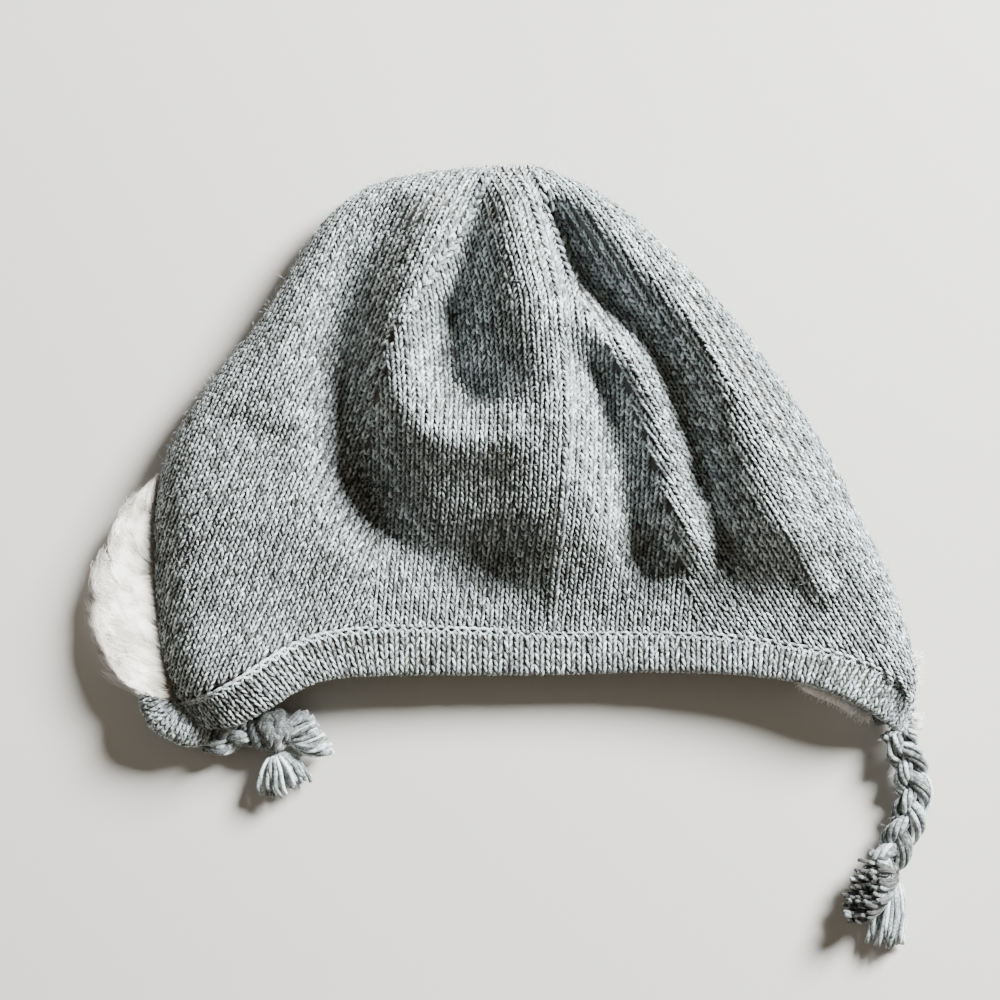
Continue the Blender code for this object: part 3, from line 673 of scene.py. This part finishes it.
shade = np.clip(dice.normal(.86, .07, (2, len(chainAt)))[..., None], 0, 1)
putTubes("linkingChain", cords, band["chainWidth"] * np.array([[1], [.75]]), 6, bandWool, "rib", shade)
print("edge band made")

# plush crescent: a soft form under thousands of combed hairs
crescent = [(-.081, .08, .50), (-.123, .42, .80), (-.158, .59, .92), (-.202, .72, .98), (-.255, .93, 1),
            (-.300, .98, 1), (-.352, 1.03, 1), (-.396, .95, 1), (-.431, .86, .97), (-.458, .69, .90),
            (-.475, .50, .74), (-.486, .28, .45)]  # place up the hat, width share, height share
plush = {"width": .0175, "height": .0190, "hairs": 5000, "hairRadius": .00015, "hairLength": .0062,
         "clumps": 150}
crescentTable = smoothLine(np.array(crescent) * (hat["height"], 1, 1), 80, axes=1)
flapLine = smoothLine(place(leftFlapSide), 60)[::-1]
crescentX = np.interp(crescentTable[:, 0], flapLine[:, 1], flapLine[:, 0])
section = np.array([(-.10, .20), (-.10, .60), (-.02, .88), (.25, .96), (.60, .92), (.84, .72), (.95, .36),
                    (.88, 0), (-.10, 0)])
outward = section[None, :, 0] * (crescentTable[:, 1] * plush["width"] * .90)[:, None]
upward = section[None, :, 1] * (crescentTable[:, 2] * plush["height"] * .92)[:, None]
alongFlap = np.broadcast_to(crescentTable[:, :1], outward.shape)
form = np.stack([crescentX[:, None] - outward, alongFlap, upward], -1)
caps = np.stack([np.arange(9), 80 * 9 - 1 - np.arange(9)])
padding = putPiece("plushCrescentForm", form, [gridFaces(80, 9, True)[:, ::-1], caps], plushPile,
                   {"marlAndShade": np.full(form.shape[:2], .55)})


# hairs in clumps: each root stands on the form, and its tip is drawn to its clump's tip, outwards and downhill
def combedHairs(many, seed):
    some = np.random.default_rng(seed)
    clumpRow, clumpShare = some.uniform(1, 78, plush["clumps"]), some.uniform(0, 1.0, plush["clumps"])
    row = some.uniform(0, 79, many)
    share = some.uniform(-.10, 1.0, many)
    apart = (row[:, None] - clumpRow) ** 2 / 9 + (share[:, None] - clumpShare) ** 2 / .02
    mine = apart.argmin(1)
    t = np.linspace(0, 1, 4)[None]
    reach = plush["hairLength"] * some.uniform(.6, 1.15, (many, 1))
    tipRow = clumpRow[mine] - 4.5 - 2.5 * np.sin(clumpRow[mine] * 1.3) + some.normal(0, .9, many)
    rows = np.clip(row[:, None] + (tipRow - row)[:, None] * t ** 1.3, 0, 79)
    width = np.interp(rows, np.arange(80), crescentTable[:, 1]) * plush["width"]
    tall = np.interp(rows, np.arange(80), crescentTable[:, 2]) * plush["height"]
    tipShare = clumpShare[mine] + .30 + .10 * np.sin(clumpRow[mine] * 2.9)
    out = share[:, None] * width + ((tipShare - share)[:, None] * width) * t * reach / plush["hairLength"]
    limit = width * (1.02 + .10 * np.sin(clumpRow[mine] * 2.3)[:, None]) + .0008 * some.normal(0, 1, (many, 1))
    out = np.minimum(out, limit)
    surface = np.interp(out / width, [-.2, 0, .25, .60, .84, .97, 1.12], [.82, .90, .97, .93, .72, .42, .16])
    wave = .0011 * np.sin(np.pi * t) * some.uniform(.3, 1.5, (many, 1))
    z = tall * surface + wave - .0006 * (1 - t) + .0011 * np.sin(clumpRow[mine] * 5.1)[:, None] * t
    x = np.interp(rows, np.arange(80), crescentX) - out
    y = np.interp(rows, np.arange(80), crescentTable[:, 0]) + some.normal(0, .0003, (many, 1)) * t
    radius = plush["hairRadius"] * (1 - .70 * t) * some.uniform(.7, 1.3, (many, 1))
    return np.stack([x, y, np.maximum(z, .0004)], -1), radius, clumpRow[mine], some


paths, radius, clump, some = combedHairs(plush["hairs"], 31)
# each clump painted a little lighter or darker, painted shade between the clumps, and each hair's tone varied at random
shade = .66 + .26 * np.sin(clump * 7.7)[:, None, None] + some.uniform(-.2, .2, (len(paths), 1, 1))
shade = np.clip(shade - .55 * (1 - np.linspace(0, 1, 4))[None, :, None], 0, 1)  # painted shade at the roots, as the hairs cast no shadows
pile = putTubes("plushCrescentPile", paths, radius, 3, plushPile, "plush", shade)
pile.visible_shadow = False  # the thin white hairs let the light through
print("plush crescent made")


# ties: three strands plaited, each a bundle of yarns
def strandFrames(line):
    run = unit(np.gradient(line, axis=0))
    side = unit(np.cross(run, (0, 0, 1)))
    return run, side, np.cross(side, run)


plait = {"pitch": .0240, "sway": .0031, "rise": .0016, "bundle": .00175, "yarns": 7, "yarn": .00072,
         "height": .0059, "lowest": .0008}
ties = {"right": {"tip": rightTip, "root": (.0005, -.0018), "startHeight": hat["sideHeight"], "length": .0375,
                  "steps": 90, "tone": .55,
                  "bend": [(0, 0), (.09, -.22), (.13, -.52), (.04, -.80), (-.09, -1.0)]},
        "left": {"tip": leftTip, "root": (.0030, -.0035), "startHeight": plait["height"], "length": .0125,
                 "steps": 40, "tone": .60, "bend": [(0, 0), (.35, .02), (.70, .10), (1, .20)]}}
tieRoutes = {}


# each strand sways and rises over a pitch, and its yarns turn round one that runs in its middle
def plaitPaths(route, length, count):
    line = smoothLine(route, count, axes=3)
    run, side, up = strandFrames(line)
    along = np.linspace(0, length, count)
    paths = []
    for strand in range(3):
        phase = 2 * np.pi * (along / plait["pitch"] + strand / 3)
        for yarn in range(plait["yarns"]):
            spin = 2 * np.pi * yarn / plait["yarns"] + 2 * np.pi * along / .018
            out = (yarn != 0) * plait["bundle"]
            paths.append(line + side * (plait["sway"] * np.sin(phase) + out * np.cos(spin))[:, None]
                         + up * (plait["rise"] * np.sin(2 * phase) + out * np.sin(spin))[:, None])
    return np.array(paths)


for name, tie in ties.items():
    bend = np.array(tie["bend"]) * tie["length"]
    height = np.interp(-bend[:, 1] / tie["length"], (0, .35, 1),
                       (tie["startHeight"], plait["height"], plait["height"]))
    tieRoutes[name] = np.column_stack([place(tie["tip"]) + tie["root"] + bend, height])
    paths = plaitPaths(tieRoutes[name], tie["length"], tie["steps"])
    paths[..., 2] = np.maximum(paths[..., 2], plait["lowest"])
    shade = dice.normal(tie["tone"], .12, (len(paths), 1, 1))
    shade = shade + dice.normal(0, .10, (len(paths), tie["steps"], 1))
    putTubes(f"{name}TiePlait", paths, plait["yarn"], 6, tieWool, "yarn", np.clip(shade, 0, 1),
             [f"{name}_tie_plait"])

# the overhand knot: bundles of yarn wound round a ball three ways
knot = {"diameter": .0130, "yarn": .00092, "strandApart": .0036, "bundle": .00115,
        "wraps": [((1, .42, .15), 0, 1), ((.9, -.5, .5), .4, .93), ((.1, .4, 1), -.3, .9)]}  # axis, start, size
ball = tieRoutes["left"][-1] + (.5 * knot["diameter"] + .0003, -.0004, .5 * knot["diameter"] - plait["height"])
paths = []
for axis, start, size in knot["wraps"]:
    axis = unit(np.array(axis, float))
    first = unit(np.cross(axis, (0, 0, 1)))
    second = np.cross(axis, first)
    turn = np.linspace(0, 2 * np.pi, 41) + start
    for strand in (-1, 0, 1):
        for yarn in range(5):
            spin = 2 * np.pi * yarn / 5 + 3 * turn
            off = strand * knot["strandApart"] + knot["bundle"] * np.cos(spin)
            radius = np.sqrt((.5 * size * knot["diameter"] - knot["yarn"]) ** 2
                             - (strand * knot["strandApart"]) ** 2) - .0009 + .00095 * np.sin(spin)
            ring = np.cos(turn)[:, None] * first + np.sin(turn)[:, None] * second
            paths.append(ball + axis * off[:, None] + radius[:, None] * ring)
points, faces = tubes(paths, knot["yarn"], 6, upright=(.01, .02, 1))
points[..., 2] = np.maximum(points[..., 2], .0002)
shade = np.clip(dice.normal(.32, .12, (len(paths), 1, 1)) + dice.normal(0, .10, (len(paths), 41, 1)), 0, 1)
putPiece("leftTieKnot", points, faces, tieWool, {"marlAndShade": np.broadcast_to(shade, points.shape[:3])},
         ["left_tie_knot"])


# a tuft: yarns that leave a neck along a curve (start, bend, end), spread to a width and wave a little
def tuftPaths(start, bend, end, wide, deep, many, some, uneven=.22):
    start, bend, end = (np.array(p, float) for p in (start, bend, end))
    t = np.linspace(0, 1, 10)[None, :, None]
    run = unit(end - bend)
    side = unit(np.cross(run, (0, 0, 1)))
    up = np.cross(side, run)
    a, r = some.uniform(0, 2 * np.pi, (many, 1, 1)), np.sqrt(some.uniform(0, 1, (many, 1, 1)))
    reach = 1 - uneven * some.uniform(0, 1, (many, 1, 1))
    t = t * reach
    spread = .5 * np.interp(t, [0, .15, .40, .75, 1], [.30, .55, .82, .97, 1.0])
    height = some.normal(0, 1, (many, 1, 1)) * .0005
    wave = height * np.sin(2 * np.pi * (t * 1.1 + some.uniform(0, 1, (many, 1, 1)))) * t
    middle = (1 - t) ** 2 * start + 2 * t * (1 - t) * bend + t ** 2 * end
    paths = middle + side * (wide * spread * r * np.cos(a) + wave) + up * (deep * spread * r * np.sin(a) + wave)
    paths[..., 2] = np.maximum(paths[..., 2], .0007)
    return paths


pixelSize, middlePixel = .00028, (550, 430)


# a place over the picture, from the hat's middle
def atPixel(x, y, z):
    return (x - middlePixel[0]) * pixelSize, (middlePixel[1] - y) * pixelSize, z


# each tuft: start, bend, end, width, depth, yarns, mean tone; the right one's first tuft is near black, painted shadow
# beside the tassel
tassels = {"right": [(atPixel(891, 868, .0060), atPixel(884, 898, .0042), atPixel(857, 887, .0125),
                      .0200, .0125, 120, .14),
                     (atPixel(891, 868, .0060), atPixel(897, 905, .0060), atPixel(886, 949, .0035),
                      .0110, .0075, 60, .66)],
           "left": [(atPixel(287, 740, .0060), atPixel(302, 742, .0070), atPixel(322, 728, .0060),
                     .0150, .0100, 48, .52),
                    (atPixel(276, 756, .0060), atPixel(280, 768, .0065), atPixel(287, 792, .0040),
                     .0150, .0080, 48, .56)]}
tasselYarn = .00056
for name, seed in (("right", 71), ("left", 72)):
    some = np.random.default_rng(seed)
    paths, shade = [], []
    for start, bend, end, wide, deep, many, tone in tassels[name]:
        paths.append(tuftPaths(start, bend, end, wide, deep, many, some))
        pale = (some.uniform(0, 1, (many, 1, 1)) < .30) * .35
        shade.append(np.clip(tone + pale + some.normal(0, .10, (many, 10, 1)), 0, 1))
    putTubes(f"{name}Tassel", np.concatenate(paths), tasselYarn, 6, tieWool, "yarn", np.concatenate(shade),
             [f"{name}_tassel"], upright=(.02, .01, 1))
print("ties made")

# the end of the turned hem, a short rolled strip of band below the plush
turnedEnd = {"radius": .0047, "flat": .85, "gauge": 1.10, "tone": .75, "thickness": [.35, .80, 1, .9, .5],
             "route": [atPixel(152, 684, .0118), atPixel(156, 700, .0122), atPixel(168, 718, .0118),
                       atPixel(190, 730, .0100), atPixel(206, 736, .0080)]}
strip = smoothLine(turnedEnd["route"], 40, axes=3)
thick = turnedEnd["radius"] * np.interp(np.linspace(0, 1, 40), [0, .12, .35, .8, 1], turnedEnd["thickness"])
points, faces = tubes([strip], thick[None], 24, flat=turnedEnd["flat"])
# the strip under its loops is painted dark: painted shade between them
putPiece("turnedHemEnd", points, faces, paintedShadeGround,
         {"marlAndShade": np.full(points.shape[:3], turnedEnd["tone"])})
gridLoops("turnedHemLoops", points[0], np.arange(1.5, 38, 2.1), np.arange(0, 24, 24 / 15), 97,
          turnedEnd["gauge"], isTube=True)

# loose yarn that has come out of the right tie, and one end beside its tassel
looseYarn = {"radius": .00050, "tone": .80,
             "routes": [[atPixel(912, 770, .0060), atPixel(928, 778, .0075), atPixel(932, 797, .0080),
                         atPixel(925, 814, .0070), atPixel(912, 824, .0050)],
                        [atPixel(893, 868, .0060), atPixel(903, 890, .0070), atPixel(905, 912, .0060),
                         atPixel(901, 932, .0040), atPixel(896, 946, .0020)]]}
paths = [smoothLine(route, 24, axes=3) for route in looseYarn["routes"]]
putTubes("looseYarn", paths, looseYarn["radius"], 6, tieWool, "yarn", looseYarn["tone"])

# the lining that shows under the band at the right flap, the folded end of the hem, and the lining's tufts
rolls = {"liningEdge": ([atPixel(796, 679, .0060), atPixel(822, 689, .0050), atPixel(848, 700, .0046),
                         atPixel(871, 716, .0044)], 30, [0, .15, .8, 1], [.0006, .0026, .0030, .0010],
                        plushPile, "plush", .6),
         # the folded end's low tone is painted shade, the fold lying in shadow
         "foldedHemEnd": ([atPixel(866, 708, .0050), atPixel(878, 712, .0052), atPixel(890, 722, .0052)],
                          16, [0, .2, .8, 1], [.0008, .0032, .0034, .0012], stitchWool, "knit", .28)}
for name, (route, count, shares, radii, material, slotName, tone) in rolls.items():
    radius = np.interp(np.linspace(0, 1, count), shares, radii)[None]
    putTubes(name, [smoothLine(route, count, axes=3)], radius, 10, material, slotName, tone)
tufts = {"many": 900, "radius": .00010,  # pixel, half width, half height, heading, hair length
         "spots": [(834, 694, 34, 5, -.3, -.9, .0035), (864, 709, 8, 4, -.2, -.9, .0030),
                   (909, 672, 5, 15, 1, .2, .0034), (912, 722, 3, 7, 1, -.1, .0028)]}
paths = []
for x, y, wide, high, headX, headY, long in tufts["spots"]:
    count = tufts["many"] // 4
    spots = np.column_stack([x + wide * dice.uniform(-1, 1, count), y + high * dice.uniform(-1, 1, count)])
    if high < wide:
        spots[:, 1] = y + (spots[:, 0] - x) * .50 + high * dice.uniform(-.5, .5, count)
    root = np.column_stack(atPixel(*spots.T, dice.uniform(.0045, .0085, count)))
    way = unit(np.array((headX, headY, 0)) + dice.normal(0, .35, (count, 3)) * (1, 1, .3))
    t = np.linspace(0, 1, 4)[None, :, None]
    paths.append(root[:, None] + way[:, None] * long * dice.uniform(.4, 1.1, (count, 1, 1)) * t
                 + dice.normal(0, .0005, (count, 1, 3)) * t ** 2)
paths = np.concatenate(paths)
paths[..., 2] = np.maximum(paths[..., 2], .0004)
putTubes("liningTufts", paths, tufts["radius"], 3, plushPile, "plush", .7)

# stray fibres: a few over the cloth, and a fine short fuzz along the outline, the band's edge and the right tie
fuzz = {"cloth": 1900, "clothLength": .0019, "edges": (1000, 500, 150), "edgeLength": .0016, "radius": .00003}
spots = np.column_stack([dice.uniform(-.118, .108, 12000), dice.uniform(-.062, .080, 12000)])
aboveHem = spots[:, 1] > np.interp(spots[:, 0], hemX, hemY)
spots = spots[isInside(spots, sheetPolygon) & aboveHem][:fuzz["cloth"]]
root = onCloth(spots)
normal = unit(root - clothAt(rolledDown(spots), .0027))
heading = dice.uniform(0, 2 * np.pi, len(spots))
way = np.column_stack([np.cos(heading), np.sin(heading), np.zeros(len(spots))])
length = fuzz["clothLength"] * dice.uniform(.3, 1.2, (len(spots), 1))
edges = [outline, bandGrid[:, 20, :2], tieRoutes["right"][:, :2]]
for k, (line, many) in enumerate(zip(edges, fuzz["edges"])):
    at = dice.uniform(0, 1, many) * (len(line) - 1)
    spots = np.column_stack([np.interp(at, np.arange(len(line)), line[:, c]) for c in (0, 1)])
    lift = (.0035, .0150) if k == 0 else (.0015, .0090)
    root = np.vstack([root, np.column_stack([spots, dice.uniform(*lift, many)])])
    away = dice.uniform(0, 2 * np.pi, many)
    way = np.vstack([way, np.column_stack([np.cos(away), np.sin(away), dice.normal(0, .3, many)])])
    normal = np.vstack([normal, np.tile((0, 0, .3), (many, 1))])
    root[-many:] += way[-many:] * (.0048 if k == 2 else 0)
    length = np.vstack([length, fuzz["edgeLength"] * dice.uniform(.3, 1.3, (many, 1))])
t = np.linspace(0, 1, 4)[None, :, None]
bend = dice.normal(0, .35, (len(root), 1, 3))
paths = root[:, None] + normal[:, None] * (.0006 + .0006 * np.sin(np.pi * t)) \
    + (way * length)[:, None] * t + bend * length[:, None] * t ** 2 * (1, 1, .2)
paths[..., 2] = np.maximum(paths[..., 2], .0004)
putTubes("strayFibres", paths, fuzz["radius"], 3, stitchWool, "knit", dice.uniform(.5, 1, (len(paths), 1, 1)))
print("loose ends, tufts and stray fibres made")
